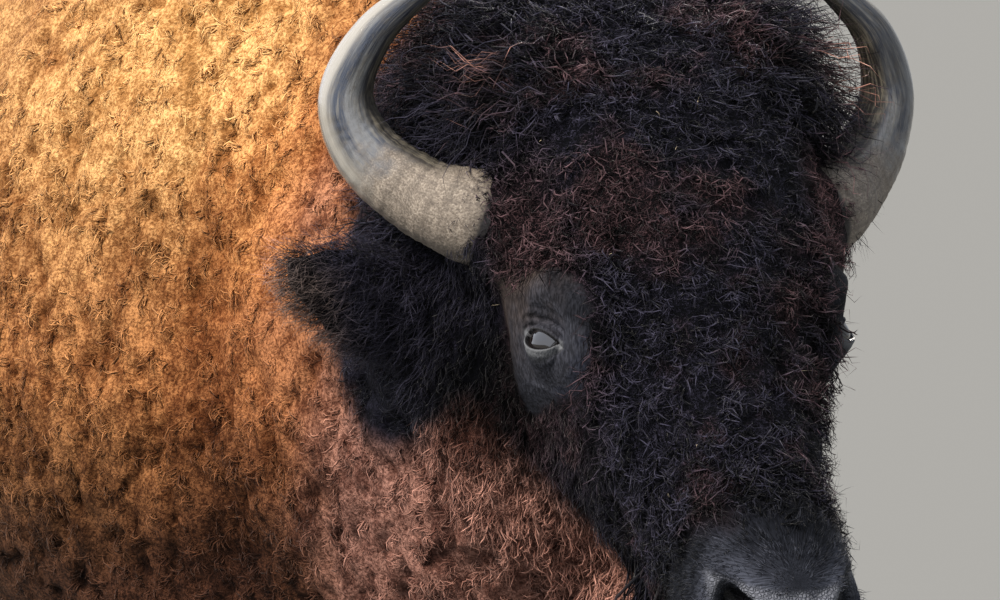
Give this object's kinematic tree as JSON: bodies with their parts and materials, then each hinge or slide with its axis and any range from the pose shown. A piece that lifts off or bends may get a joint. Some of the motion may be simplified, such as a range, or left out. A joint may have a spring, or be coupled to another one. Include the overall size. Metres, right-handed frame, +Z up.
{
  "type": "bison bull, still model",
  "caption": "Life-size standing bison bull with a shoulder hump, woolly cape, short upturned horns, beard and tufted tail, as a still model.",
  "frame": {"origin": "on the floor, in the middle of the box round the whole animal", "axes": "+Z up; the animal faces -Y, with its right side at -X"},
  "size_m": [0.7954, 2.787, 1.8186],
  "materials": {
    "dark_wool": "near-black brown curly wool",
    "cape_wool": "golden tan crimped wool",
    "short_coat": "brown short hair",
    "leg_hair": "dark brown hair",
    "horn": "grey keratin, rough at the base and glossy on the outer curve",
    "eye": "wet dark brown",
    "hoof": "worn black keratin"
  },
  "bodies": {
    "root": {"head": "dark_wool", "beard": "dark_wool", "ear_right": "dark_wool", "ear_left": "dark_wool", "neck": "cape_wool", "trunk": "cape_wool", "tail": "short_coat", "leg_front_right": "leg_hair", "leg_front_left": "leg_hair", "leg_hind_right": "leg_hair", "leg_hind_left": "leg_hair", "horn_right": "horn", "horn_left": "horn", "eye_right": "eye", "eye_left": "eye", "hoof_front_right_outer": "hoof", "hoof_front_right_inner": "hoof", "hoof_front_left_outer": "hoof", "hoof_front_left_inner": "hoof", "hoof_hind_right_outer": "hoof", "hoof_hind_right_inner": "hoof", "hoof_hind_left_outer": "hoof", "hoof_hind_left_inner": "hoof"}
  },
  "joints": []
}
